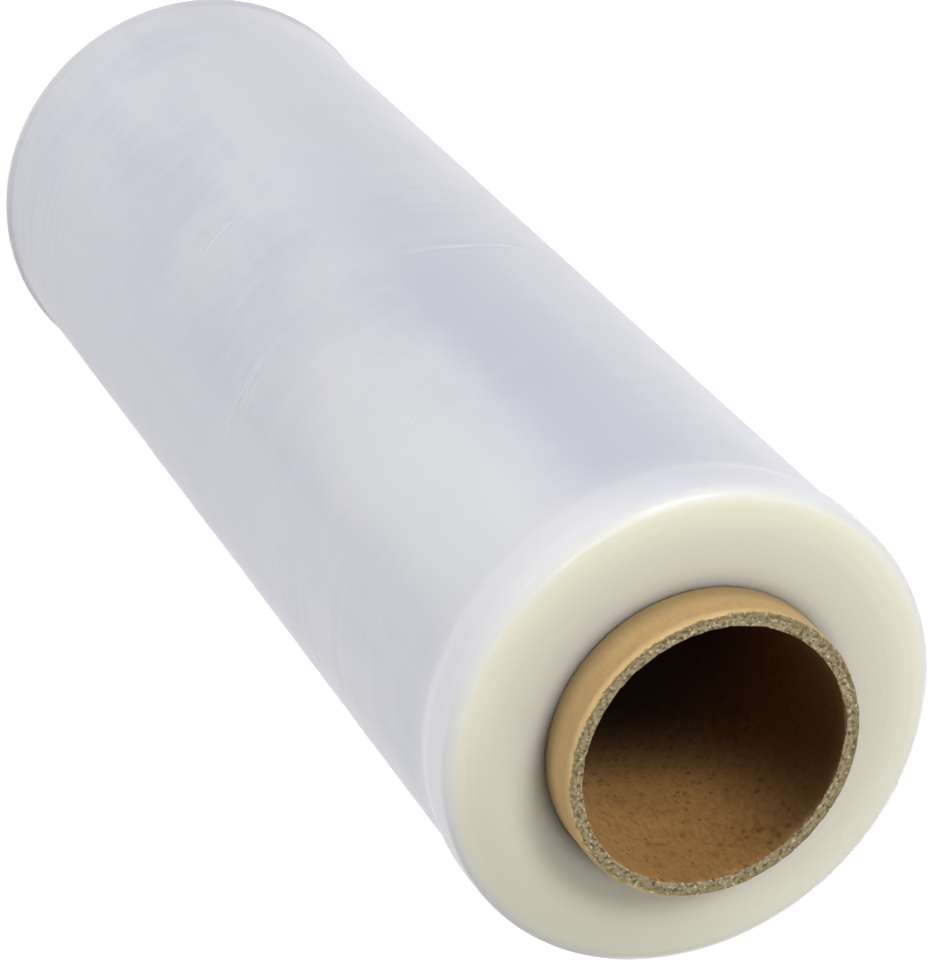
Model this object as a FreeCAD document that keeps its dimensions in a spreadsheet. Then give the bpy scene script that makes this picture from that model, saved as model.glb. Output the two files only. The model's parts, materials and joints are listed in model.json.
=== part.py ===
"""Stretch wrap roll: clear film wound on a spiral-wound cardboard core that stands out at both ends.

The frame is the roll standing on one end of its core: +Z runs up the bore, and the origin is the
middle of the ring that the roll stands on. Lengths are in millimetres.
"""

import FreeCAD, Part
import math
import os
import sys
import Sketcher

ON_THE_RING = 1e-6
WANDER_ANGLE = 137.5  # degrees from one winding band to the next, so that no two wander alike
SHOULDER_STEPS = 5  # flats that a soft shoulder is turned in
ROLL_STEPS = 3  # flats that the rolled edge of a cut end is turned in

doc = FreeCAD.newDocument("stretch_wrap_roll")

# Driving dimensions: alias, value, what it is
SIZES = [
    ("bore_diameter", 76.2, "inside of the core, for a 3 inch dispenser handle"),
    ("core_wall", 4.5, "thickness of the wound cardboard"),
    ("core_overhang", 14.0, "how far the core stands out of the film at each end"),
    ("core_edge_roll", 1.6, "radius where the outer plies roll over a cut end"),
    ("core_edge_break", 0.3, "inner edge of a cut end, just broken"),
    ("seam_width", 1.1, "gap where a spiral ply meets itself, along the core"),
    ("seam_depth", 0.35, "thickness of one ply of paper"),
    ("seam_lead", 152.0, "rise of a ply's seam in one turn"),
    ("film_width", 430.0, "width of the film"),
    ("film_diameter", 140.2, "over the turns, between the lips"),
    ("lip_rise", 1.3, "how far the film's edges build up above the turns between them"),
    ("lip_width", 21.0, "from the end of the film to where a lip starts to rise"),
    ("lip_ramp", 7.0, "length over which a lip rises"),
    ("lip_fall", 0.4, "how far a lip drops again on its way to the shoulder"),
    ("lip_blend", 16.0, "rounding at the foot and the crest of a lip"),
    ("shoulder_round", 3.6, "radius where the side turns into the end"),
    ("end_dish", 0.5, "how far the innermost turns lie below the outermost"),
    ("band_count", 10, "bands of turns that show on an end"),
    ("band_wander", 0.35, "how far the turns can slip in while they are wound"),
]

CORE_RADIUS = "Sizes.bore_diameter / 2 + Sizes.core_wall"
CORE_LENGTH = "Sizes.film_width + 2 * Sizes.core_overhang"
SEAM_RUN_OUT = "2 * Sizes.seam_width"  # how far a seam's cut starts before one end and stops past the other
PITCH_AND_HEIGHT = 0  # the way of giving a helix its size


def make_sheet():
    """The spreadsheet that every size comes from."""
    table = doc.addObject("Spreadsheet::Sheet", "Sizes")
    for row, (alias, value, meaning) in enumerate(SIZES, start=1):
        table.set("A%d" % row, alias)
        table.set("B%d" % row, str(value))
        table.set("C%d" % row, meaning)
        table.setAlias("B%d" % row, alias)
    doc.recompute()
    return table


sheet = make_sheet()


def worked_out(formula):
    """The present value of a formula on the sheet, as a plain number."""
    result = sheet.evalExpression(formula.replace("Sizes.", ""))
    return float(getattr(result, "Value", result))


def origin_item(body, role):
    """One of a body's own origin planes or axes."""
    return next(item for item in body.Origin.OriginFeatures if item.Role == role)


def new_body(label):
    body = doc.addObject("PartDesign::Body", label)
    body.Label = label
    return body


def new_sketch(body, name):
    """A sketch on the body's XZ plane: X is the radius, and Y the height."""
    sketch = body.newObject("Sketcher::SketchObject", name)
    sketch.AttachmentSupport = [(origin_item(body, "XZ_Plane"), "")]
    sketch.MapMode = "FlatFace"
    return sketch


def place_corner(sketch, line, kind, formula, name):
    """Ties the start of a line to its distance from the sketch origin, along X or Y."""
    tie = Sketcher.Constraint(kind, -1, 1, line, 1, worked_out(formula))
    sketch.renameConstraint(sketch.addConstraint(tie), name)
    sketch.setExpression("Constraints." + name, formula)


def closed_outline(sketch, corners):
    """Closed polygon through (radius formula, height formula) corners; height None is the X axis."""
    points = [
        FreeCAD.Vector(worked_out(radius), 0 if height is None else worked_out(height), 0)
        for radius, height in corners
    ]
    count = len(points)
    for number, point in enumerate(points):
        sketch.addGeometry(Part.LineSegment(point, points[(number + 1) % count]))
    for number in range(count):
        sketch.addConstraint(Sketcher.Constraint("Coincident", number, 2, (number + 1) % count, 1))
    for number, (radius, height) in enumerate(corners):
        place_corner(sketch, number, "DistanceX", radius, "radius_%d" % number)
        if height is None:
            sketch.addConstraint(Sketcher.Constraint("PointOnObject", number, 1, -1))
        else:
            place_corner(sketch, number, "DistanceY", height, "height_%d" % number)


def turned(body, name, corners):
    """A closed outline turned a full circle about the body's Z axis."""
    sketch = new_sketch(body, name + "_section")
    closed_outline(sketch, corners)
    doc.recompute()
    solid = body.newObject("PartDesign::Revolution", name)
    solid.Profile = sketch
    solid.ReferenceAxis = (origin_item(body, "Z_Axis"), [""])
    solid.Angle = 360
    doc.recompute()
    return solid


def rings_at(shape, radius, height):
    """Names of the round edges about the Z axis that have this radius and height."""
    return [
        "Edge%d" % number
        for number, edge in enumerate(shape.Edges, start=1)
        if isinstance(edge.Curve, Part.Circle)
        and abs(edge.Curve.Radius - worked_out(radius)) < ON_THE_RING
        and abs(edge.Curve.Center.z - worked_out(height)) < ON_THE_RING
    ]


def dress_rings(body, name, kind, base, rings, amount):
    """Fillet or chamfer of a given size on round edges named by their radius and height."""
    feature = body.newObject("PartDesign::" + kind, name)
    edges = [edge for radius, height in rings for edge in rings_at(base.Shape, radius, height)]
    feature.Base = (base, edges)
    feature.setExpression("Radius" if kind == "Fillet" else "Size", amount)
    doc.recompute()
    return feature


def cut_seam(body, name, inner_radius, outer_radius):
    """Helical gap where a ply of the spiral winding butts against its own next turn, open at both ends."""
    sketch = new_sketch(body, name + "_section")
    sketch.setExpression("AttachmentOffset.Base.y", "-(%s)" % SEAM_RUN_OUT)
    low = "Sizes.seam_width / 2"
    high = "Sizes.seam_width * 3 / 2"
    closed_outline(
        sketch,
        [(inner_radius, low), (outer_radius, low), (outer_radius, high), (inner_radius, high)],
    )
    doc.recompute()
    seam = body.newObject("PartDesign::SubtractiveHelix", name)
    seam.Profile = sketch
    seam.ReferenceAxis = (origin_item(body, "Z_Axis"), [""])
    seam.Mode = PITCH_AND_HEIGHT
    seam.setExpression("Pitch", "Sizes.seam_lead")
    seam.setExpression("Height", "%s + 2 * %s" % (CORE_LENGTH, SEAM_RUN_OUT))
    doc.recompute()
    return seam


def rounded_corners(radius, end_height, rounding, steps):
    """Corners of a rounded edge, on a quarter circle from the side to the end."""
    corners = []
    for step in range(steps + 1):
        turn = math.radians(90) * step / steps
        across = "%s - %s * %.6f" % (radius, rounding, 1 - math.cos(turn))
        up = "%s - %s * %.6f" % (end_height, rounding, 1 - math.sin(turn))
        corners.append((across, up))
    return corners


def make_core():
    """Spiral-wound cardboard tube with rolled cut ends, and the seam of its outermost ply."""
    body = new_body("cardboard_core")
    bore = "Sizes.bore_diameter / 2"
    upper = rounded_corners(CORE_RADIUS, CORE_LENGTH, "Sizes.core_edge_roll", ROLL_STEPS)
    lower = [(radius, "%s - (%s)" % (CORE_LENGTH, height)) for radius, height in reversed(upper)]
    lower[0] = (lower[0][0], None)
    wall = turned(body, "wound_wall", [(bore, None)] + lower + upper + [(bore, CORE_LENGTH)])
    inner_edges = [(bore, "0"), (bore, CORE_LENGTH)]
    dress_rings(body, "broken_edges", "Chamfer", wall, inner_edges, "Sizes.core_edge_break")
    ply_foot = CORE_RADIUS + " - Sizes.seam_depth"
    cut_seam(body, "outer_ply_seam", ply_foot, CORE_RADIUS + " + Sizes.seam_width")
    return body


def band_corners(outermost_radius, end_height):
    """Corners of one end, from the shoulder in to the core: the turns drift in and out from band to band."""
    count = int(worked_out("Sizes.band_count"))
    pitch = "(%s - (%s)) / %d" % (outermost_radius, CORE_RADIUS, count)
    corners = []
    for band in range(1, count + 1):
        share_in = band / count
        slip = (1 - math.cos(math.radians(WANDER_ANGLE * band))) / 2
        height = "%s - Sizes.end_dish * %.6f - Sizes.band_wander * %.6f" % (end_height, share_in, slip)
        corners.append(("%s - %s * %d" % (outermost_radius, pitch, band), height))
    return corners


def make_film_roll():
    """All the turns of film as one solid: built-up lips along its edges, soft shoulders and uneven ends."""
    body = new_body("film_roll")
    between_lips = "Sizes.film_diameter / 2"
    crest = between_lips + " + Sizes.lip_rise"
    shoulder = crest + " - Sizes.lip_fall"
    end = "Sizes.film_width / 2"
    lip_foot = end + " - Sizes.lip_width"
    lip_crest = lip_foot + " + Sizes.lip_ramp"
    side = [(CORE_RADIUS, None), (between_lips, None), (between_lips, lip_foot), (crest, lip_crest)]
    bands = band_corners("(%s - Sizes.shoulder_round)" % shoulder, end)
    soft = rounded_corners(shoulder, end, "Sizes.shoulder_round", SHOULDER_STEPS)
    half = turned(body, "wound_half", side + soft + bands)
    blends = [(between_lips, lip_foot), (crest, lip_crest)]
    blended = dress_rings(body, "lip_blends", "Fillet", half, blends, "Sizes.lip_blend")
    other_half = body.newObject("PartDesign::Mirrored", "other_half")
    other_half.Originals = [half, blended]
    other_half.MirrorPlane = (origin_item(body, "XY_Plane"), [""])
    body.Tip = other_half
    body.setExpression("Placement.Base.z", "Sizes.core_overhang + Sizes.film_width / 2")
    doc.recompute()
    return body


def check(pieces):
    """Stops the build if a feature failed or a piece isn't one sound solid."""
    failed = [item.Name for item in doc.Objects if "Invalid" in item.State or "Error" in item.State]
    if failed:
        sys.exit("features that failed: %s" % ", ".join(failed))
    for piece in pieces:
        shape = piece.Shape
        if shape.isNull() or not shape.isValid() or len(shape.Solids) != 1:
            sys.exit("%s isn't one valid solid" % piece.Label)


def main():
    pieces = [make_core(), make_film_roll()]
    doc.recompute()
    check(pieces)
    os.makedirs("parts", exist_ok=True)
    for piece in pieces:
        piece.Shape.exportStep("parts/%s.step" % piece.Label)
        print("%s: %.0f mm3" % (piece.Label, piece.Shape.Volume))


main()
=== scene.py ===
"""Stretch wrap roll: the milky wound film and its spiral-wound cardboard core, dressed around the frame.

Lengths are in metres. The roll stands on one end of its core, with +Z up the bore. Places around the
roll are given as an azimuth in degrees from +X.
"""

import json
import math

import bmesh
import bpy
from mathutils import Matrix, Vector


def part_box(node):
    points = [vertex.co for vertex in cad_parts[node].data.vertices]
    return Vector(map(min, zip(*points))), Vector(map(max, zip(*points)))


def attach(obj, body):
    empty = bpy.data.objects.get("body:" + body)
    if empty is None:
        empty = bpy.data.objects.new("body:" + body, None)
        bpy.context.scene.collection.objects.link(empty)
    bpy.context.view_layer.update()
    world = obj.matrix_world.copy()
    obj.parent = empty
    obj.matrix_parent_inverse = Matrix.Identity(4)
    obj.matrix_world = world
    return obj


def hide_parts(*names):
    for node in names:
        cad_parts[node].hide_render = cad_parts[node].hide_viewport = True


bl_info = {
    "name": "Stretch wrap roll",
    "version": (1, 0, 0),
    "blender": (4, 5, 0),
    "location": "View3D > Sidebar > Wrap roll",
    "description": "Winds a roll of stretch film on a cardboard core and lights it",
    "category": "Object",
}

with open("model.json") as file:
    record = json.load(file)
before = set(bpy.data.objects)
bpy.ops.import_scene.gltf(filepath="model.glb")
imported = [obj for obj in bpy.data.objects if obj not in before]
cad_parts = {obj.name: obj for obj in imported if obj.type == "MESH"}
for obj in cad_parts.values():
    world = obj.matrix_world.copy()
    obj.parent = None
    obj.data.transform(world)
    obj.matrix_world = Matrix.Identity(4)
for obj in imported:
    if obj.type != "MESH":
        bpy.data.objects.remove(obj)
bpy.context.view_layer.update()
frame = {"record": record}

BODY = "root"
FILM_NODE = "film_roll"
CORE_NODE = "cardboard_core"
MM = 0.001

film_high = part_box(FILM_NODE)[1]
core_low, core_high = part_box(CORE_NODE)
bore_mount = next(mount for mount in frame["record"]["mounts"] if mount["name"] == "core_bore")

MIDDLE = (core_low[2] + core_high[2]) / 2
CORE_END = core_high[2] - MIDDLE
FILM_END = film_high[2] - MIDDLE
CREST_RADIUS = film_high[0]
CORE_RADIUS = core_high[0]
BORE_RADIUS = bore_mount["dims"]["r_mm"] * MM

NICK_AZIMUTH = 154.0  # where the upper cut of the core is nicked
NICK_DEPTH = 1.0 * MM

# Creases across the turns: azimuth and height of the middle, half its length in degrees,
# how far its ends lie above the middle, and its height out of the surface
CREASES = [
    (352.0, 0.2625, 27.0, -0.0040, 0.20 * MM),
    (38.0, 0.1862, 12.0, 0.0035, 0.18 * MM),
    (42.0, 0.1830, 9.0, 0.0030, 0.12 * MM),
    (54.0, 0.2587, 21.0, 0.0110, 0.18 * MM),
    (67.0, 0.2560, 15.0, 0.0060, 0.14 * MM),
    (61.0, 0.2640, 13.0, 0.0070, 0.13 * MM),
    (32.0, 0.2990, 9.0, -0.0010, 0.12 * MM),
    (34.0, 0.3440, 6.0, 0.0020, 0.12 * MM),
    (120.0, 0.2100, 16.0, 0.0080, 0.14 * MM),
    (158.0, 0.3020, 22.0, 0.0100, 0.18 * MM),
    (201.0, 0.1640, 25.0, -0.0080, 0.18 * MM),
    (262.0, 0.2460, 20.0, 0.0090, 0.16 * MM),
    (300.0, 0.3300, 14.0, 0.0060, 0.12 * MM),
]
TALLEST_CREASE = 0.20 * MM
CREASE_STRAY = 4.0 * MM  # how far a crease wanders off its arc
CREASE_FULL = 0.35  # share of its half length that is at its full height
VALLEY_AT = 1.7  # how far under a crease its valley lies, in widths of the crease
VALLEY_SHARE = 0.7  # depth of the valley beside the height of the crease


def rgb(red, green, blue):
    """A colour picked in 8-bit screen values, as the linear colour that Blender works in."""
    channels = [channel / 255 for channel in (red, green, blue)]
    return tuple(c / 12.92 if c <= 0.04045 else ((c + 0.055) / 1.055) ** 2.4 for c in channels)


def around(azimuth, radius, height):
    """A point at an azimuth in degrees, a distance from the axis and a height."""
    turn = math.radians(azimuth)
    return Vector((radius * math.cos(turn), radius * math.sin(turn), height))


# Light painted on the film's side, each at one place: a painted highlight along the axis at 44°, painted
# shade on the left at 84° and a painted bluish reflection at 3°. Azimuth and half the width in degrees,
# the heights where a tone starts and where it is full, its share and its colour
SIDE_TONES = [
    (44.0, 24.0, 0.22, 0.36, 0.8, rgb(228, 229, 230)),
    (84.0, 34.0, 0.38, 0.20, 0.5, rgb(196, 196, 210)),
    (3.0, 19.0, 0.12, 0.34, 0.65, rgb(184, 189, 210)),
]
SHADED_SIDE = (325.0, 62.0)  # azimuth and half the width of painted shade on the film's side, where the key lamp lights it most
LIT_AND_SHADED_END = (137.0, 68.0)  # the same where an end has painted light by the core, over the core's shadow, and painted shade by the rim
SHADED_BORE = (275.0, 85.0)  # the same where the bore has painted shade
RAW_CUT = (270.0, 105.0)  # the same where the sawn fibre reaches over the rolled edge
SCUFF_AZIMUTH = 52.0
SCUFF_RADIUS = 63.6 * MM

# Soft lamps: name, azimuth, distance from the axis, height, height on the axis that the lamp points at,
# its width and height, and its power in watts
LAMPS = [
    ("key", 335.0, 0.9, 1.39, 0.45, 0.42, 0.42, 12.8),
    ("top", 305.0, 0.28, 2.1, 0.45, 0.5, 0.5, 8.6),
    ("left_fill", 100.0, 1.3, 0.42, 0.25, 1.2, 0.3, 2.9),
    ("front_fill", 52.0, 1.3, 0.42, 0.25, 1.2, 0.3, 5.5),
    ("back_fill", 216.0, 1.3, 0.25, 0.25, 1.2, 0.3, 6.0),
]


class FilmSettings(bpy.types.PropertyGroup):
    """Sizes and colours of the wound film."""

    lip_rise: bpy.props.FloatProperty(
        name="Lip rise", description="How far the film's edges build up above the turns between them",
        default=1.3 * MM, min=0.0, unit="LENGTH")
    lip_width: bpy.props.FloatProperty(
        name="Lip width", description="From the end of the film to where a lip starts to rise",
        default=21.0 * MM, min=0.0, unit="LENGTH")
    lip_ramp: bpy.props.FloatProperty(
        name="Lip ramp", description="Length over which a lip rises",
        default=9.0 * MM, min=0.0, unit="LENGTH")
    lower_lip_width: bpy.props.FloatProperty(
        name="Lower lip width", description="The same at the end that the roll stands on",
        default=7.0 * MM, min=0.0, unit="LENGTH")
    lower_lip_ramp: bpy.props.FloatProperty(
        name="Lower lip ramp", description="Length over which the lower lip rises",
        default=5.0 * MM, min=0.0, unit="LENGTH")
    lip_fall: bpy.props.FloatProperty(
        name="Lip fall", description="How far a lip drops again on its way to the shoulder",
        default=0.4 * MM, min=0.0, unit="LENGTH")
    shoulder: bpy.props.FloatProperty(
        name="Shoulder", description="Radius where the side turns into the end",
        default=3.6 * MM, min=0.0, unit="LENGTH")
    end_dish: bpy.props.FloatProperty(
        name="End dish", description="How far the innermost turns lie below the outermost",
        default=0.6 * MM, min=0.0, unit="LENGTH")
    row_step: bpy.props.FloatProperty(
        name="Row step", description="Length of a mesh row along the side",
        default=1.12 * MM, min=0.0005, unit="LENGTH")
    end_step: bpy.props.FloatProperty(
        name="End step", description="Width of a mesh ring on an end",
        default=0.6 * MM, min=0.0002, unit="LENGTH")
    segments: bpy.props.IntProperty(
        name="Segments", description="Mesh columns around the roll", default=192, min=24)
    wrinkle: bpy.props.FloatProperty(
        name="Wrinkle", description="Height of the fine wrinkles that run round the side",
        default=0.10 * MM, min=0.0, unit="LENGTH")
    swell: bpy.props.FloatProperty(
        name="Swell", description="How unevenly the turns build up along the roll",
        default=0.35 * MM, min=0.0, unit="LENGTH")
    ridge: bpy.props.FloatProperty(
        name="Ridge", description="How far single turns stand out of an end",
        default=0.09 * MM, min=0.0, unit="LENGTH")
    drift: bpy.props.FloatProperty(
        name="Drift", description="How far the turns of an end drift in and out together",
        default=0.30 * MM, min=0.0, unit="LENGTH")
    colour: bpy.props.FloatVectorProperty(
        name="Side colour", description="The milky side of the roll", subtype="COLOR",
        default=rgb(215, 216, 225), min=0.0, max=1.0)
    end_colour: bpy.props.FloatVectorProperty(
        name="End colour", description="The waxy end, away from its rim", subtype="COLOR",
        default=rgb(202, 198, 186), min=0.0, max=1.0)
    rim_colour: bpy.props.FloatVectorProperty(
        name="Rim colour", description="The rim of an end, where light glows through",
        subtype="COLOR", default=rgb(222, 220, 202), min=0.0, max=1.0)


class CoreSettings(bpy.types.PropertyGroup):
    """Sizes and colours of the cardboard core."""

    edge_roll: bpy.props.FloatProperty(
        name="Edge roll", description="Radius where the outer plies roll over a cut end",
        default=1.6 * MM, min=0.0, unit="LENGTH")
    edge_break: bpy.props.FloatProperty(
        name="Edge break", description="Inner edge of a cut end, just broken",
        default=0.3 * MM, min=0.0, unit="LENGTH")
    seam_lead: bpy.props.FloatProperty(
        name="Seam lead", description="Rise of a ply's seam in one turn",
        default=152.0 * MM, min=0.01, unit="LENGTH")
    seam_width: bpy.props.FloatProperty(
        name="Seam width", description="Gap where a spiral ply meets itself, along the core",
        default=1.1 * MM, min=0.0, unit="LENGTH")
    seam_depth: bpy.props.FloatProperty(
        name="Seam depth", description="How deep the gap shows",
        default=0.12 * MM, min=0.0, unit="LENGTH")
    seam_azimuth: bpy.props.FloatProperty(
        name="Seam azimuth", description="Where the seam meets the upper end of the core",
        default=math.radians(7.3), subtype="ANGLE")
    fray: bpy.props.FloatProperty(
        name="Fray", description="How rough the cut ends are",
        default=0.45 * MM, min=0.0, unit="LENGTH")
    segments: bpy.props.IntProperty(
        name="Segments", description="Mesh columns around the core", default=400, min=24)
    kraft: bpy.props.FloatVectorProperty(
        name="Kraft", description="The smooth paper outside", subtype="COLOR",
        default=rgb(192, 159, 106), min=0.0, max=1.0)
    lining: bpy.props.FloatVectorProperty(
        name="Lining", description="The paper inside the bore", subtype="COLOR",
        default=rgb(188, 146, 90), min=0.0, max=1.0)
    cut: bpy.props.FloatVectorProperty(
        name="Cut", description="The fibrous board where it is sawn", subtype="COLOR",
        default=rgb(156, 141, 106), min=0.0, max=1.0)


class StageSettings(bpy.types.PropertyGroup):
    """The camera, the floor and the room."""

    lens: bpy.props.FloatProperty(
        name="Lens", description="Focal length on a 36 mm sensor, along the image's longer side",
        default=141.06, min=1.0)
    camera_azimuth: bpy.props.FloatProperty(
        name="Camera azimuth", description="Bearing of the camera from the roll, in degrees",
        default=35.814)
    camera_reach: bpy.props.FloatProperty(
        name="Camera reach", description="Distance of the camera from the roll's axis",
        default=0.62419, unit="LENGTH")
    camera_height: bpy.props.FloatProperty(
        name="Camera height", description="Height of the camera above the floor",
        default=1.23211, unit="LENGTH")
    camera_roll: bpy.props.FloatProperty(
        name="Camera roll", description="Turn of the camera about its line of sight, in degrees",
        default=-137.569)
    camera_aim: bpy.props.FloatVectorProperty(
        name="Camera aim", description="The place that the camera points at", subtype="TRANSLATION",
        default=(-0.0258845, -0.0191143, 0.229))
    floor_colour: bpy.props.FloatVectorProperty(
        name="Floor colour", description="The pale floor", subtype="COLOR",
        default=rgb(232, 232, 234), min=0.0, max=1.0)
    floor_glow: bpy.props.FloatProperty(
        name="Floor glow", description="What is added to the lit floor in the picture, to make it white",
        default=0.76, min=0.0)
    room_light: bpy.props.FloatProperty(
        name="Room light", description="Strength of the even light from all round", default=0.09, min=0.0)


class Nodes:
    """A node tree, and the short calls that fill it."""

    def __init__(self, tree):
        self.tree = tree

    def put(self, socket, value):
        """Links a socket to an output, or sets its value."""
        if isinstance(value, bpy.types.NodeSocket):
            self.tree.links.new(value, socket)
        elif value is not None:
            socket.default_value = value

    def add(self, kind, values=(), named=None, **settings):
        """A new node: values fill its inputs in order, named ones by name."""
        node = self.tree.nodes.new(kind)
        for name, setting in settings.items():
            setattr(node, name, setting)
        for socket, value in zip(node.inputs, values):
            self.put(socket, value)
        for name, value in (named or {}).items():
            self.put(node.inputs[name], value)
        return node

    def math(self, operation, first, second=None, third=None, clamp=False):
        values = (first, second, third)
        node = self.add("ShaderNodeMath", values, operation=operation, use_clamp=clamp)
        return node.outputs[0]

    def product(self, total, *factors):
        """Several values multiplied with each other."""
        for factor in factors:
            total = self.math("MULTIPLY", total, factor)
        return total

    def span(self, value, low, high, to_low=0.0, to_high=1.0, smooth=True):
        """A value moved from one range to another, and kept inside it."""
        named = {"Value": value, "From Min": low, "From Max": high, "To Min": to_low, "To Max": to_high}
        kind = "SMOOTHSTEP" if smooth else "LINEAR"
        node = self.add("ShaderNodeMapRange", named=named, interpolation_type=kind)
        return node.outputs["Result"]

    def join(self, x, y, z):
        return self.add("ShaderNodeCombineXYZ", (x, y, z)).outputs[0]

    def split(self, vector):
        return self.add("ShaderNodeSeparateXYZ", (vector,)).outputs

    def stretched(self, place, across, along):
        """A place with X and Y scaled by one number and Z by another, which draws a pattern out."""
        scales = (across, across, along)
        return self.add("ShaderNodeVectorMath", (place, scales), operation="MULTIPLY").outputs[0]

    def noise(self, vector, scale, detail=2.0, roughness=0.5):
        """Noise from about 0 to 1."""
        named = {"Vector": vector, "Scale": scale, "Detail": detail, "Roughness": roughness}
        return self.add("ShaderNodeTexNoise", named=named).outputs[0]

    def centred_noise(self, vector, scale, detail=2.0, roughness=0.5):
        """Noise from about -0.5 to 0.5."""
        return self.math("SUBTRACT", self.noise(vector, scale, detail, roughness), 0.5)


class Spot:
    """A point of the roll, as node outputs: its place, and what follows from it."""

    def __init__(self, n, place):
        self.place = place
        self.x, self.y, self.z = n.split(place)
        squares = n.math("ADD", n.math("MULTIPLY", self.x, self.x), n.math("MULTIPLY", self.y, self.y))
        self.radius = n.math("SQRT", squares)
        above_middle = n.math("SUBTRACT", self.z, MIDDLE)
        self.from_middle = n.math("ABSOLUTE", above_middle)
        self.which_end = n.math("SIGN", above_middle)


def group_sockets(tree, inputs, outputs):
    """Names the sockets of a node group."""
    for name, kind in inputs:
        tree.interface.new_socket(name, in_out="INPUT", socket_type=kind)
    for name, kind in outputs:
        tree.interface.new_socket(name, in_out="OUTPUT", socket_type=kind)


def turned_section_tree():
    """Node group that turns a closed section, given as points in order, once round the Z axis."""
    tree = bpy.data.node_groups.new("Turned section", "GeometryNodeTree")
    group_sockets(
        tree,
        [("Section", "NodeSocketGeometry"), ("Segments", "NodeSocketInt")],
        [("Mesh", "NodeSocketGeometry")],
    )
    n = Nodes(tree)
    given = n.add("NodeGroupInput").outputs
    size = n.add("GeometryNodeAttributeDomainSize", (given["Section"],)).outputs["Point Count"]
    rows = n.math("ADD", size, 1)
    columns = n.math("ADD", given["Segments"], 1)
    sheet = n.add("GeometryNodeMeshGrid", named={"Vertices X": columns, "Vertices Y": rows}).outputs["Mesh"]
    index = n.add("GeometryNodeInputIndex").outputs[0]
    column = n.math("FLOOR", n.math("DIVIDE", index, rows))
    row = n.math("SUBTRACT", index, n.math("MULTIPLY", column, rows))
    sample = n.add("GeometryNodeSampleIndex", data_type="FLOAT_VECTOR")
    n.put(sample.inputs["Geometry"], given["Section"])
    n.put(sample.inputs["Value"], n.add("GeometryNodeInputPosition").outputs[0])
    n.put(sample.inputs["Index"], n.math("FLOORED_MODULO", row, size))
    section_place = n.split(sample.outputs["Value"])
    radius = section_place["X"]
    turn = n.math("MULTIPLY", n.math("DIVIDE", column, given["Segments"]), math.tau)
    across = n.math("MULTIPLY", radius, n.math("COSINE", turn))
    along = n.math("MULTIPLY", radius, n.math("SINE", turn))
    place = n.join(across, along, section_place["Z"])
    wound = n.add("GeometryNodeSetPosition", named={"Geometry": sheet, "Position": place})
    closed = n.add("GeometryNodeMergeByDistance", named={"Geometry": wound.outputs[0], "Distance": 1e-6})
    n.add("NodeGroupOutput", (closed.outputs[0],))
    return tree


def start_tree(name, sizes, section_group):
    """A wound piece's tree: its node calls, its inputs, the turned section and the point on it."""
    tree = bpy.data.node_groups.new(name, "GeometryNodeTree")
    group_sockets(
        tree,
        [("Section", "NodeSocketGeometry"), ("Segments", "NodeSocketInt")]
        + [(size, "NodeSocketFloat") for size in sizes]
        + [("Material", "NodeSocketMaterial")],
        [("Mesh", "NodeSocketGeometry")],
    )
    n = Nodes(tree)
    given = n.add("NodeGroupInput").outputs
    section = {"Section": given["Section"], "Segments": given["Segments"]}
    turned = n.add("GeometryNodeGroup", named=section, node_tree=section_group).outputs[0]
    return n, given, turned, Spot(n, n.add("GeometryNodeInputPosition").outputs[0])


def end_tree(n, given, turned, offset):
    """Moves the turned section's points by an offset, and gives out the real mesh in its material."""
    uneven = n.add("GeometryNodeSetPosition", named={"Geometry": turned, "Offset": offset})
    smooth = n.add("GeometryNodeSetShadeSmooth", named={"Geometry": uneven.outputs[0], "Shade Smooth": True})
    real = n.add("GeometryNodeRealizeInstances", (smooth.outputs[0],))
    look = {"Geometry": real.outputs[0], "Material": given["Material"]}
    painted = n.add("GeometryNodeSetMaterial", named=look)
    n.add("NodeGroupOutput", (painted.outputs[0],))
    return n.tree


def bell(n, off):
    """1 where a value is 0, falling to 0 on both sides of it."""
    return n.math("EXPONENT", n.product(off, off, -1.0))


def creased(n, at, strength, width):
    """The heights of all the creases added up at a point: each is a ridge with a valley under it."""
    stray = n.math("MULTIPLY", n.centred_noise(at.place, scale=60.0), CREASE_STRAY)
    level = n.math("DIVIDE", n.math("SUBTRACT", at.z, stray), width)
    azimuth_here = n.math("ARCTAN2", at.y, at.x)
    total = 0.0
    for azimuth, height, half_length, bow, rise in CREASES:
        turn = n.math("WRAP", n.math("SUBTRACT", azimuth_here, math.radians(azimuth)), math.pi, -math.pi)
        share = n.math("DIVIDE", turn, math.radians(half_length))
        off = n.math("SUBTRACT", level, height / width)
        off = n.math("MULTIPLY_ADD", n.math("MULTIPLY", share, share), -bow / width, off)
        valley = bell(n, n.math("ADD", off, VALLEY_AT))
        form = n.math("MULTIPLY_ADD", valley, -VALLEY_SHARE, bell(n, off))
        fade = n.span(n.math("ABSOLUTE", share), CREASE_FULL, 1.0, 1.0, 0.0)
        total = n.math("MULTIPLY_ADD", n.math("MULTIPLY", form, fade), rise * strength, total)
    return total


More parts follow.
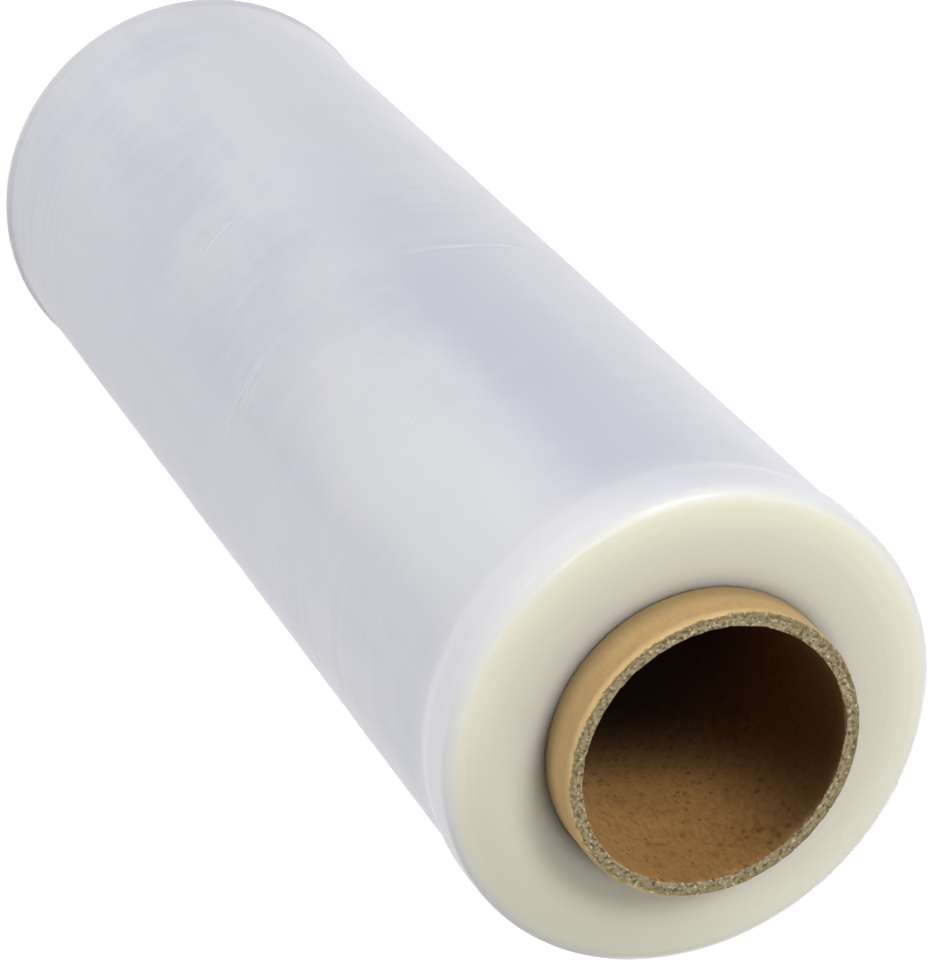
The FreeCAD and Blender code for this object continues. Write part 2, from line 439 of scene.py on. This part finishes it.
def film_tree(section_group):
    """Geometry nodes of the wound film: the turned section, then everything that makes it uneven."""
    sizes = ("Wrinkle", "Swell", "Ridge", "Drift")
    n, given, turned, at = start_tree("Wound film", sizes, section_group)

    on_side = n.product(
        n.span(at.from_middle, FILM_END - 6.0 * MM, FILM_END - 2.0 * MM, 1.0, 0.0),
        n.span(at.radius, CORE_RADIUS, CORE_RADIUS + 2.0 * MM),
    )
    warp = n.math("MULTIPLY", n.noise(at.place, scale=26.0), 3.2)
    rings = (n.stretched(at.place, 16.0, 330.0), n.join(warp, warp, warp))
    warped = n.add("ShaderNodeVectorMath", rings, operation="ADD").outputs[0]
    patch = n.span(n.noise(at.place, scale=11.0), 0.42, 0.66, 0.15, 1.0)
    height = n.math("MULTIPLY", given["Wrinkle"], 4.0)
    wrinkles = n.product(n.centred_noise(warped, scale=1.0), patch, height)
    broad = n.stretched(at.place, 9.0, 22.0)
    swell = n.math("MULTIPLY", n.centred_noise(broad, scale=1.0), given["Swell"])
    creases = creased(n, at, strength=1.0, width=1.5 * MM)
    side = n.math("ADD", n.math("ADD", wrinkles, swell), creases)
    side = n.math("MULTIPLY", side, on_side)

    on_end = n.product(
        n.span(at.from_middle, FILM_END - 2.5 * MM, FILM_END - 1.5 * MM),
        n.span(at.radius, CORE_RADIUS + 0.3 * MM, CORE_RADIUS + 1.5 * MM),
    )
    bent = n.math("MULTIPLY", n.noise(at.place, scale=30.0, detail=1.0), 0.6 * MM)
    bent = n.math("ADD", at.radius, bent)
    turns = n.join(n.math("MULTIPLY", bent, 900.0), at.which_end, 0.0)
    single = n.math("MULTIPLY", n.centred_noise(turns, scale=1.0), given["Ridge"])
    bands = n.join(n.math("MULTIPLY", bent, 190.0), at.which_end, 4.0)
    drift = n.math("MULTIPLY", n.centred_noise(bands, scale=1.0, detail=1.0), given["Drift"])
    end = n.math("MULTIPLY", n.math("ADD", single, drift), on_end)

    normal = n.add("GeometryNodeInputNormal").outputs[0]
    reach = {"Scale": n.math("ADD", side, end)}
    offset = n.add("ShaderNodeVectorMath", (normal,), reach, operation="SCALE").outputs[0]
    return end_tree(n, given, turned, offset)


def core_tree(section_group):
    """Geometry nodes of the core: the turned section, its ply seam and its frayed ends."""
    sizes = ("Edge roll", "Seam lead", "Seam width", "Seam depth", "Seam azimuth", "Fray")
    n, given, turned, at = start_tree("Wound core", sizes, section_group)

    roll_start = n.math("SUBTRACT", CORE_RADIUS, given["Edge roll"])
    on_cut = n.product(
        n.span(at.radius, BORE_RADIUS - 0.1 * MM, BORE_RADIUS + 0.4 * MM),
        n.span(at.radius, roll_start, CORE_RADIUS - 0.6 * MM, 1.0, 0.0),
        n.span(at.from_middle, CORE_END - 0.9 * MM, CORE_END - 0.1 * MM),
    )
    coarse = n.noise(at.place, scale=900.0, detail=3.0, roughness=0.6)
    plies = n.join(n.math("MULTIPLY", at.radius, 2600.0), n.math("MULTIPLY", at.which_end, 3.0), 0.0)
    layer = n.noise(plies, scale=1.0, detail=1.0)
    rough = n.math("ADD", n.math("MULTIPLY", coarse, 0.75), n.math("MULTIPLY", layer, 0.25))
    bite = n.math("MULTIPLY", n.span(rough, 0.30, 0.62, 1.0, 0.0, smooth=False), given["Fray"])
    hollow = n.span(n.noise(at.place, scale=110.0), 0.40, 0.7)
    hollow = n.math("MULTIPLY", hollow, n.math("MULTIPLY", given["Fray"], 1.3))
    nick_place = tuple(around(NICK_AZIMUTH, CORE_RADIUS, core_high[2]))
    from_nick = n.add("ShaderNodeVectorMath", (at.place, nick_place), operation="DISTANCE").outputs["Value"]
    nick = n.span(from_nick, 0.8 * MM, 3.4 * MM, NICK_DEPTH, 0.0)
    sunk = n.math("ADD", n.math("ADD", bite, hollow), nick)
    fray = n.product(sunk, on_cut, n.math("MULTIPLY", at.which_end, -1.0))

    near_cut = n.span(at.from_middle, CORE_END - 2.4 * MM, CORE_END - 0.6 * MM)
    mid_wall = (CORE_RADIUS + BORE_RADIUS) / 2
    half_wall = (CORE_RADIUS - BORE_RADIUS) / 2
    off_middle = n.math("DIVIDE", n.math("SUBTRACT", mid_wall, at.radius), half_wall)
    chip = n.noise(at.place, scale=190.0, detail=3.0, roughness=0.6)
    chip = n.product(n.span(chip, 0.42, 0.74, 0.0, 0.4 * MM), near_cut, off_middle)

    turn = n.math("SUBTRACT", n.math("ARCTAN2", at.y, at.x), given["Seam azimuth"])
    turn = n.math("DIVIDE", turn, math.tau)
    rise = n.math("DIVIDE", n.math("SUBTRACT", at.z, core_high[2]), given["Seam lead"])
    away = n.math("ABSOLUTE", n.math("WRAP", n.math("SUBTRACT", rise, turn), 0.5, -0.5))
    away = n.math("MULTIPLY", away, given["Seam lead"])
    gap = n.span(away, 0.0, n.math("MULTIPLY", given["Seam width"], 1.4), 1.0, 0.0)
    on_wall = n.product(
        n.span(at.radius, CORE_RADIUS - 0.3 * MM, CORE_RADIUS - 0.1 * MM),
        n.span(at.from_middle, FILM_END - 0.5 * MM, FILM_END),
    )
    sink = n.product(gap, on_wall, given["Seam depth"])

    inward = n.math("DIVIDE", n.math("SUBTRACT", chip, sink), at.radius)
    offset = n.join(n.math("MULTIPLY", at.x, inward), n.math("MULTIPLY", at.y, inward), fray)
    return end_tree(n, given, turned, offset)


def film_radius(from_end, film, lip_width, lip_ramp):
    """Radius of the side at a distance from the end of the film, between the shoulders."""
    body = CREST_RADIUS - film.lip_rise
    climb = (lip_width - from_end) / lip_ramp
    if climb <= 0:
        return body
    if climb <= 1:
        return body + film.lip_rise * (1 - math.cos(math.pi * climb)) / 2
    past_crest = (lip_width - lip_ramp - from_end) / (lip_width - lip_ramp)
    return CREST_RADIUS - film.lip_fall * past_crest ** 2


def spread(start, stop, step):
    """Evenly spaced values from start up to, and not including, stop."""
    count = max(1, round(abs(stop - start) / step))
    return [start + (stop - start) * number / count for number in range(count)]


def film_half(film, lip_width, lip_ramp):
    """Half of the film's section, as (radius, height) from the middle of the side in to the core."""
    flat_radius = film_radius(film.shoulder, film, lip_width, lip_ramp) - film.shoulder
    half = []
    for height in spread(0.0, FILM_END - film.shoulder, film.row_step):
        half.append((film_radius(FILM_END - height, film, lip_width, lip_ramp), height))
    shoulder_rows = 9
    for row in range(shoulder_rows):
        turn = math.radians(90) * row / shoulder_rows
        half.append((
            flat_radius + film.shoulder * math.cos(turn),
            FILM_END - film.shoulder + film.shoulder * math.sin(turn),
        ))
    for radius in spread(flat_radius, CORE_RADIUS, film.end_step):
        share_in = (flat_radius - radius) / (flat_radius - CORE_RADIUS)
        half.append((radius, FILM_END - film.end_dish * share_in))
    half.append((CORE_RADIUS, FILM_END - film.end_dish))
    return half


def film_section(film):
    """The film's whole section, as (radius, height) going round."""
    upper = film_half(film, film.lip_width, film.lip_ramp)
    lower = film_half(film, film.lower_lip_width, film.lower_lip_ramp)
    section = upper + [(radius, -height) for radius, height in lower[:0:-1]]
    return [(radius, height + MIDDLE) for radius, height in section]


def core_section(core):
    """The core's section as (radius, height) going round: wall, upper cut, bore and lower cut."""
    wall_step = 0.45 * MM
    hidden_step = 30.0 * MM
    cut_step = 0.33 * MM
    bore_step = 8.0 * MM
    mouth_end = CORE_END - 5.0 * MM
    covered = FILM_END - 2.0 * MM
    upper = [(CORE_RADIUS, height) for height in spread(0.0, covered, hidden_step)]
    for height in spread(covered, CORE_END - core.edge_roll, wall_step):
        upper.append((CORE_RADIUS, height))
    roll_rows = 7
    for row in range(roll_rows):
        turn = math.radians(90) * row / roll_rows
        upper.append((
            CORE_RADIUS - core.edge_roll * (1 - math.cos(turn)),
            CORE_END - core.edge_roll * (1 - math.sin(turn)),
        ))
    for radius in spread(CORE_RADIUS - core.edge_roll, BORE_RADIUS + core.edge_break, cut_step):
        upper.append((radius, CORE_END))
    upper.append((BORE_RADIUS + core.edge_break, CORE_END))
    for height in spread(CORE_END - core.edge_break, mouth_end, wall_step):
        upper.append((BORE_RADIUS, height))
    for height in spread(mouth_end, 0.0, bore_step):
        upper.append((BORE_RADIUS, height))
    upper.append((BORE_RADIUS, 0.0))
    lower = [(radius, -height) for radius, height in upper[-2:0:-1]]
    return [(radius, height + MIDDLE) for radius, height in upper + lower]


def section_object(name, section):
    """An object that holds a closed section as points and edges in the XZ plane."""
    count = len(section)
    mesh = bpy.data.meshes.new(name + "_section")
    points = [(radius, 0.0, height) for radius, height in section]
    edges = [(number, (number + 1) % count) for number in range(count)]
    mesh.from_pydata(points, edges, [])
    piece = bpy.data.objects.new(name, mesh)
    bpy.context.scene.collection.objects.link(piece)
    return piece


def grow(piece, tree, inputs):
    """Runs a node tree on an object with these inputs, and leaves the result as its plain mesh."""
    modifier = piece.modifiers.new(tree.name, "NODES")
    modifier.node_group = tree
    sockets = {item.name: item.identifier for item in tree.interface.items_tree if item.in_out == "INPUT"}
    for name, value in inputs.items():
        modifier[sockets[name]] = value
    evaluated = piece.evaluated_get(bpy.context.evaluated_depsgraph_get())
    mesh = bpy.data.meshes.new_from_object(evaluated)
    mesh.name = piece.name
    section = piece.data
    piece.modifiers.remove(modifier)
    piece.data = mesh
    bpy.data.meshes.remove(section)
    if not mesh.polygons:
        raise RuntimeError("%s came out empty" % piece.name)


def face_outwards(piece):
    """Turns the faces of a closed piece round if they point inwards."""
    shape = bmesh.new()
    shape.from_mesh(piece.data)
    if shape.calc_volume(signed=True) < 0:
        bmesh.ops.reverse_faces(shape, faces=shape.faces)
        shape.to_mesh(piece.data)
    shape.free()


def new_material(name):
    """A material with its node calls, its shader, and the point that it colours."""
    material = bpy.data.materials.new(name)
    material.use_nodes = True
    material.node_tree.nodes.clear()
    n = Nodes(material.node_tree)
    shader = n.add("ShaderNodeBsdfPrincipled")
    n.add("ShaderNodeOutputMaterial", (shader.outputs[0],))
    return material, n, shader, Spot(n, n.add("ShaderNodeTexCoord").outputs["Object"])


def blend_colour(n, share, first, second):
    """A mix of two colours by a share from 0 to 1."""
    node = n.add("ShaderNodeMix", data_type="RGBA")
    n.put(node.inputs[0], share)
    for socket, value in ((node.inputs[6], first), (node.inputs[7], second)):
        n.put(socket, value if isinstance(value, bpy.types.NodeSocket) else (*value, 1.0))
    return node.outputs[2]


def facing(n, at, azimuth, half_width):
    """1 at an azimuth, falling to 0 at half_width degrees to either side."""
    turn = math.radians(azimuth)
    along_x = n.math("MULTIPLY", at.x, math.cos(turn))
    along_y = n.math("MULTIPLY", at.y, math.sin(turn))
    closeness = n.math("DIVIDE", n.math("ADD", along_x, along_y), at.radius)
    return n.span(closeness, math.cos(math.radians(half_width)), 1.0)


def film_side_colour(n, at, film, cloud):
    """The milky side: clouds, haze, fine hairs, and painted light: highlight, shade and reflection at fixed
    places, lighter lips, a shaded side and lit and shaded creases.
    """
    side = blend_colour(n, cloud, rgb(203, 204, 216), film.colour)
    haze = n.span(n.noise(at.place, scale=34.0, detail=4.0, roughness=0.65), 0.40, 0.70, 0.0, 0.34)
    side = blend_colour(n, haze, side, rgb(224, 224, 227))
    hairs = n.noise(n.stretched(at.place, 34.0, 170.0), scale=1.0, detail=3.0)
    side = blend_colour(n, n.span(hairs, 0.46, 0.72, 0.0, 0.15), side, rgb(226, 227, 232))
    # painted highlight, painted shade and painted reflection, each at its own place
    for azimuth, half_width, start, full, share, colour in SIDE_TONES:
        tone = n.product(facing(n, at, azimuth, half_width), n.span(at.z, start, full), share)
        side = blend_colour(n, tone, side, colour)
    # The lips are painted lighter, more at the upper end: painted light where the raised edges face the
    # lamps
    lip = n.product(
        n.span(at.from_middle, FILM_END - 32.0 * MM, FILM_END - 9.0 * MM),
        n.span(at.z, 0.0, MIDDLE, 0.2, 0.8),
    )
    side = blend_colour(n, lip, side, rgb(227, 227, 231))
    # painted shade on the side that the key lamp lights most
    side_shade = n.math("MULTIPLY", facing(n, at, *SHADED_SIDE), 0.55)
    side = blend_colour(n, side_shade, side, rgb(192, 192, 204))
    shoulder = n.span(at.from_middle, FILM_END - 4.5 * MM, FILM_END - 1.5 * MM)
    side = blend_colour(n, shoulder, side, rgb(214, 214, 212))
    # Painted highlight on each crease and painted shade in the valley under it
    broken = n.span(n.noise(at.place, scale=95.0), 0.40, 0.62)
    crease_light_and_shade = n.math("MULTIPLY", creased(n, at, strength=1 / TALLEST_CREASE, width=0.5 * MM), broken)
    side = blend_colour(n, n.math("MULTIPLY", crease_light_and_shade, 0.55, clamp=True), side, rgb(236, 237, 242))
    return blend_colour(n, n.math("MULTIPLY", crease_light_and_shade, -0.4, clamp=True), side, rgb(176, 176, 194))


def film_end_colour(n, at, film, flat_radius):
    """The waxy end: a painted glow at the rim, rings, painted shade by the core, painted light and painted
    shade on one side, and a scuff.
    """
    # Painted glow at the rim, where light comes through the outer turns, fading inwards to the greyer end
    # colour
    outward = n.span(at.radius, CORE_RADIUS + 2.0 * MM, flat_radius - 4.0 * MM, smooth=False)
    end = blend_colour(n, outward, film.end_colour, film.rim_colour)
    rings = n.noise(n.join(n.math("MULTIPLY", at.radius, 700.0), at.which_end, 0.0), scale=1.0, detail=3.0)
    end = blend_colour(n, n.span(rings, 0.35, 0.7, 0.0, 0.09), end, rgb(190, 186, 170))
    # painted shade where the end meets the core
    core_shade = n.span(at.radius, CORE_RADIUS, CORE_RADIUS + 5.0 * MM, 0.45, 0.0)
    end = blend_colour(n, core_shade, end, rgb(150, 142, 122))
    # painted light by the core where its shadow falls, and painted shade further out
    one_side = facing(n, at, *LIT_AND_SHADED_END)
    pale = n.span(at.radius, CORE_RADIUS + 22.0 * MM, CORE_RADIUS + 9.0 * MM)
    end = blend_colour(n, n.product(one_side, pale, 0.5), end, rgb(226, 223, 204))
    greyed = n.span(at.radius, CORE_RADIUS + 10.0 * MM, CORE_RADIUS + 22.0 * MM)
    end = blend_colour(n, n.product(one_side, greyed, 0.5), end, rgb(190, 188, 166))
    past_scuff = n.math("SUBTRACT", n.math("ARCTAN2", at.y, at.x), math.radians(SCUFF_AZIMUTH))
    past_scuff = n.math("ABSOLUTE", past_scuff)
    off_scuff = n.math("ABSOLUTE", n.math("SUBTRACT", at.radius, SCUFF_RADIUS))
    scuff = n.product(
        n.span(past_scuff, math.radians(3.0), math.radians(8.0), 0.8, 0.0),
        n.span(off_scuff, 0.2 * MM, 1.2 * MM, 1.0, 0.0),
        n.span(n.noise(at.place, scale=260.0), 0.48, 0.60),
        n.span(at.z, MIDDLE, FILM_END),
    )
    return blend_colour(n, scuff, end, rgb(246, 245, 238))


def film_material(film):
    """Clear film in thick turns: milky and cloudy at the side, waxy at the ends."""
    material, n, shader, at = new_material("milky_film")
    flat_radius = CREST_RADIUS - film.lip_fall - film.shoulder
    on_end = n.product(
        n.span(at.from_middle, FILM_END - 4.0 * MM, FILM_END - 2.5 * MM),
        n.span(at.radius, flat_radius + 0.3 * MM, flat_radius + 2.8 * MM, 1.0, 0.0),
    )
    streaks = n.noise(n.stretched(at.place, 32.0, 6.0), scale=1.0, detail=3.0, roughness=0.45)
    cloud = n.span(streaks, 0.38, 0.62)
    side = film_side_colour(n, at, film, cloud)
    end = film_end_colour(n, at, film, flat_radius)
    n.put(shader.inputs["Base Color"], blend_colour(n, on_end, side, end))

    rough = n.math("ADD", n.math("MULTIPLY", cloud, 0.08), 0.30)
    n.put(shader.inputs["Roughness"], n.math("ADD", rough, n.math("MULTIPLY", on_end, 0.16)))
    shader.inputs["IOR"].default_value = 1.49
    shader.inputs["Subsurface Weight"].default_value = 1.0
    shader.inputs["Subsurface Radius"].default_value = (1.0, 1.0, 0.9)
    shader.inputs["Subsurface Scale"].default_value = 22.0 * MM
    shader.inputs["Specular IOR Level"].default_value = 0.32
    shader.inputs["Coat Weight"].default_value = 0.12
    shader.inputs["Coat Roughness"].default_value = 0.12

    grain = n.noise(n.stretched(at.place, 60.0, 1500.0), scale=1.0, detail=3.0, roughness=0.55)
    bump = n.add("ShaderNodeBump", named={"Strength": 0.09, "Distance": 0.15 * MM, "Height": grain})
    n.put(shader.inputs["Normal"], bump.outputs[0])
    return material


def kraft_colour(n, at, core, fibre, mottle):
    """The smooth paper outside, with painted shade next to the film and a painted highlight where it rolls
    over the cut.
    """
    kraft = blend_colour(n, n.span(fibre, 0.3, 0.7), rgb(186, 151, 98), core.kraft)
    kraft = blend_colour(n, n.span(mottle, 0.4, 0.7, 0.0, 0.3), kraft, rgb(204, 173, 120))
    # painted shade where the paper meets the film
    film_contact_shade = n.span(at.from_middle, FILM_END + 0.5 * MM, FILM_END + 7.5 * MM, 0.8, 0.0)
    kraft = blend_colour(n, film_contact_shade, kraft, rgb(138, 118, 78))
    # painted highlight along the rounded edge over the cut
    rolled = n.span(at.from_middle, CORE_END - 2.6 * MM, CORE_END - 0.8 * MM, 0.0, 0.6)
    return blend_colour(n, rolled, kraft, rgb(204, 176, 120))


def lining_colour(n, at, core, fibre):
    """The brown paper in the bore: mottled and specked, with painted shade deep inside and on one side."""
    lining = blend_colour(n, n.span(fibre, 0.3, 0.7), rgb(168, 126, 72), core.lining)
    patch = n.span(n.noise(at.place, scale=60.0, detail=3.0), 0.4, 0.7, 0.0, 0.3)
    lining = blend_colour(n, patch, lining, rgb(160, 114, 60))
    blotch = n.noise(at.place, scale=300.0, detail=4.0, roughness=0.7)
    lining = blend_colour(n, n.span(blotch, 0.50, 0.66, 0.0, 0.4), lining, rgb(126, 82, 40))

    shift = n.math("MULTIPLY", n.noise(at.place, scale=700.0), 2.2 * MM)
    shifted_x = n.math("ADD", at.x, shift)
    speck_place = n.join(shifted_x, n.math("SUBTRACT", at.y, shift), n.math("MULTIPLY", at.z, 0.7))
    speck_cell = n.add("ShaderNodeTexVoronoi", named={"Vector": speck_place, "Scale": 560.0}).outputs
    speck_size = n.span(n.split(speck_cell["Color"])[0], 0.3, 1.0, 0.0, 0.5, smooth=False)
    speck = n.span(n.math("SUBTRACT", speck_size, speck_cell["Distance"]), -0.1, 0.3)
    lining = blend_colour(n, n.math("MULTIPLY", speck, 0.6), lining, rgb(88, 50, 22))

    # painted shade deep in the bore
    deep = n.span(at.from_middle, CORE_END - 92.0 * MM, CORE_END - 30.0 * MM, 0.9, 0.0)
    lining = blend_colour(n, deep, lining, rgb(52, 32, 15))
    # painted shade on the side of the bore that the lamps don't reach
    bore_shade = n.math("MULTIPLY", facing(n, at, *SHADED_BORE), 0.85)
    return blend_colour(n, bore_shade, lining, rgb(78, 50, 24))


def cut_colour(n, at, core, azimuth, grit):
    """The sawn board: dark and light fibres with pale flecks, darker towards the outside."""
    cut = blend_colour(n, n.span(grit, 0.34, 0.56), rgb(84, 72, 45), core.cut)
    outer_plies = n.span(at.radius, BORE_RADIUS + 1.2 * MM, CORE_RADIUS - 0.6 * MM, 0.0, 0.55)
    cut = blend_colour(n, outer_plies, cut, rgb(112, 98, 62))
    fleck_place = n.join(n.math("MULTIPLY", azimuth, 36.0), n.math("MULTIPLY", at.radius, 950.0), 9.0)
    fleck = n.span(n.noise(fleck_place, scale=1.0), 0.57, 0.68)
    return blend_colour(n, n.math("MULTIPLY", fleck, 0.65), cut, rgb(214, 206, 182))


def sawn_part(n, at, core):
    """1 where the board is cut, which reaches raggedly over the rolled edge and stops at the wall."""
    ragged = n.centred_noise(at.place, scale=420.0, detail=3.0, roughness=0.6)
    ragged = n.math("MULTIPLY", ragged, 1.6 * MM)
    raw_side = n.math("MULTIPLY", facing(n, at, *RAW_CUT), 1.1 * MM)
    kraft_from = n.math("ADD", raw_side, CORE_RADIUS - 0.55 * core.edge_roll)
    past_kraft = n.math("SUBTRACT", n.math("ADD", at.radius, ragged), kraft_from)
    before_kraft = n.span(past_kraft, -0.25 * MM, 0.25 * MM, 1.0, 0.0)
    over_edge = n.span(at.from_middle, CORE_END - 1.5 * MM, CORE_END - 0.5 * MM)
    inside_wall = n.product(
        n.span(at.radius, BORE_RADIUS + 0.2 * MM, BORE_RADIUS + 0.5 * MM),
        n.span(at.radius, CORE_RADIUS - 1.1 * MM, CORE_RADIUS - 0.7 * MM, 1.0, 0.0),
    )
    return n.math("MULTIPLY", before_kraft, n.math("MAXIMUM", over_edge, inside_wall))


def core_material(core):
    """Spiral-wound board: smooth kraft outside, speckled where it is cut, plain brown in the bore."""
    material, n, shader, at = new_material("wound_cardboard")
    fibre = n.noise(n.stretched(at.place, 1.0, 0.35), scale=900.0, detail=4.0, roughness=0.6)
    mottle = n.noise(at.place, scale=90.0, detail=3.0)
    azimuth = n.math("ARCTAN2", at.y, at.x)
    along_turn = n.math("MULTIPLY", azimuth, 28.0)
    grit_place = n.join(along_turn, n.math("MULTIPLY", at.radius, 760.0), at.which_end)
    grit = n.noise(grit_place, scale=1.0, detail=3.0, roughness=0.6)

    kraft = kraft_colour(n, at, core, fibre, mottle)
    lining = lining_colour(n, at, core, fibre)
    in_bore = n.span(at.radius, BORE_RADIUS + 0.1 * MM, BORE_RADIUS + 0.35 * MM, 1.0, 0.0)
    wall = blend_colour(n, in_bore, kraft, lining)
    on_cut = sawn_part(n, at, core)
    cut = cut_colour(n, at, core, azimuth, grit)
    n.put(shader.inputs["Base Color"], blend_colour(n, on_cut, wall, cut))

    kraft_rough = n.math("ADD", n.math("MULTIPLY", mottle, 0.1), 0.5)
    n.put(shader.inputs["Roughness"], n.math("ADD", kraft_rough, n.math("MULTIPLY", on_cut, 0.35)))
    relief = n.math("ADD", n.math("MULTIPLY", fibre, 0.5), n.product(grit, on_cut, 3.0))
    bump = n.add("ShaderNodeBump", named={"Strength": 0.35, "Distance": 0.12 * MM, "Height": relief})
    n.put(shader.inputs["Normal"], bump.outputs[0])
    return material


class WRAP_OT_film(bpy.types.Operator):
    """Winds the film and puts it in place of the plain roll"""

    bl_idname = "wrap.film"
    bl_label = "Wind the film"

    def execute(self, context):
        film = context.scene.wrap_film
        piece = section_object("wound_film", film_section(film))
        inputs = {
            "Segments": film.segments,
            "Wrinkle": film.wrinkle,
            "Swell": film.swell,
            "Ridge": film.ridge,
            "Drift": film.drift,
            "Material": film_material(film),
        }
        grow(piece, film_tree(turned_section_tree()), inputs)
        face_outwards(piece)
        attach(piece, BODY)
        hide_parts(FILM_NODE)
        return {"FINISHED"}


class WRAP_OT_core(bpy.types.Operator):
    """Winds the cardboard core and puts it in place of the plain tube"""

    bl_idname = "wrap.core"
    bl_label = "Wind the core"

    def execute(self, context):
        core = context.scene.wrap_core
        piece = section_object("wound_core", core_section(core))
        inputs = {
            "Segments": core.segments,
            "Edge roll": core.edge_roll,
            "Seam lead": core.seam_lead,
            "Seam width": core.seam_width,
            "Seam depth": core.seam_depth,
            "Seam azimuth": core.seam_azimuth,
            "Fray": core.fray,
            "Material": core_material(core),
        }
        grow(piece, core_tree(turned_section_tree()), inputs)
        face_outwards(piece)
        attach(piece, BODY)
        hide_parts(CORE_NODE)
        return {"FINISHED"}


def add_lamps():
    """The rectangular soft lamps, each pointing at the roll's axis."""
    for name, azimuth, reach, height, aim_height, width, tall, power in LAMPS:
        data = bpy.data.lights.new(name, "AREA")
        data.shape = "RECTANGLE"
        data.size = width
        data.size_y = tall
        data.energy = power
        lamp = bpy.data.objects.new(name, data)
        lamp.location = around(azimuth, reach, height)
        sight = Vector((0.0, 0.0, aim_height)) - lamp.location
        lamp.rotation_euler = sight.to_track_quat("-Z", "Y").to_euler()
        bpy.context.scene.collection.objects.link(lamp)


def white_rays(n):
    """1 for the rays that see the surroundings, in the picture, in gloss or through clear things."""
    path = n.add("ShaderNodeLightPath").outputs
    mirrored = n.math("MAXIMUM", path["Is Glossy Ray"], path["Is Transmission Ray"])
    return n.math("MAXIMUM", path["Is Camera Ray"], mirrored)


def add_floor(stage):
    """A round pale floor that looks white where it is lit, and keeps the roll's shadow."""
    floor_radius = 6.0
    material = bpy.data.materials.new("pale_floor")
    material.use_nodes = True
    material.node_tree.nodes.clear()
    n = Nodes(material.node_tree)
    matt = n.add("ShaderNodeBsdfDiffuse", named={"Color": (*stage.floor_colour, 1.0)})
    glow = n.add("ShaderNodeEmission", named={"Color": (1.0, 1.0, 1.0, 1.0), "Strength": stage.floor_glow})
    both = n.add("ShaderNodeAddShader", (matt.outputs[0], glow.outputs[0]))
    pick = n.add("ShaderNodeMixShader", (white_rays(n), matt.outputs[0], both.outputs[0]))
    n.add("ShaderNodeOutputMaterial", (pick.outputs[0],))
    bpy.ops.mesh.primitive_circle_add(vertices=96, radius=floor_radius, fill_type="NGON")
    floor = bpy.context.active_object
    floor.name = "floor"
    floor.data.materials.append(material)


def add_world(stage):
    """An even white room: plain light on the roll, and white to the camera and in reflections."""
    world = bpy.data.worlds.new("white_room")
    world.use_nodes = True
    world.node_tree.nodes.clear()
    n = Nodes(world.node_tree)
    strength = n.span(white_rays(n), 0.0, 1.0, stage.room_light, 1.0, smooth=False)
    room = n.add("ShaderNodeBackground", named={"Color": (1.0, 1.0, 1.0, 1.0), "Strength": strength})
    n.add("ShaderNodeOutputWorld", (room.outputs[0],))
    bpy.context.scene.world = world


def add_camera(stage):
    """The camera at the photograph's viewing angle, looking at the middle of the roll."""
    data = bpy.data.cameras.new("camera")
    data.lens = stage.lens
    data.sensor_width = 36.0
    data.clip_start = 0.05
    data.clip_end = 50.0
    camera = bpy.data.objects.new("camera", data)
    place = around(stage.camera_azimuth, stage.camera_reach, stage.camera_height)
    sight = (Vector(stage.camera_aim) - place).normalized()
    up = (Vector((0.0, 0.0, 1.0)) - sight * sight.z).normalized()
    side = sight.cross(up)
    roll = math.radians(stage.camera_roll)
    camera_up = up * math.cos(roll) + side * math.sin(roll)
    camera_right = sight.cross(camera_up)
    turn = Matrix((camera_right, camera_up, -sight)).transposed()
    camera.matrix_world = Matrix.Translation(place) @ turn.to_4x4()
    bpy.context.scene.collection.objects.link(camera)
    bpy.context.scene.camera = camera


class WRAP_OT_stage(bpy.types.Operator):
    """Sets up the floor, the room, the lamps and the camera"""

    bl_idname = "wrap.stage"
    bl_label = "Set the stage"

    def execute(self, context):
        stage = context.scene.wrap_stage
        context.scene.view_settings.view_transform = "Standard"
        add_floor(stage)
        add_world(stage)
        add_lamps()
        add_camera(stage)
        return {"FINISHED"}


class WRAP_PT_panel(bpy.types.Panel):
    """Lists the steps and the settings of the roll"""

    bl_idname = "WRAP_PT_panel"
    bl_label = "Stretch wrap roll"
    bl_space_type = "VIEW_3D"
    bl_region_type = "UI"
    bl_category = "Wrap roll"

    def draw(self, context):
        layout = self.layout
        for settings, operator in STEPS:
            box = layout.box()
            group = getattr(context.scene, settings)
            for name in group.__annotations__:
                box.prop(group, name)
            box.operator(operator)


STEPS = (
    ("wrap_film", "wrap.film"),
    ("wrap_core", "wrap.core"),
    ("wrap_stage", "wrap.stage"),
)
SETTINGS = {"wrap_film": FilmSettings, "wrap_core": CoreSettings, "wrap_stage": StageSettings}
CLASSES = (
    FilmSettings,
    CoreSettings,
    StageSettings,
    WRAP_OT_film,
    WRAP_OT_core,
    WRAP_OT_stage,
    WRAP_PT_panel,
)


def register():
    for cls in CLASSES:
        bpy.utils.register_class(cls)
    for name, group in SETTINGS.items():
        setattr(bpy.types.Scene, name, bpy.props.PointerProperty(type=group))


def unregister():
    for name in SETTINGS:
        delattr(bpy.types.Scene, name)
    for cls in reversed(CLASSES):
        bpy.utils.unregister_class(cls)


def main():
    register()
    bpy.ops.wrap.film()
    bpy.ops.wrap.core()
    bpy.ops.wrap.stage()


if __name__ == "__main__":
    main()
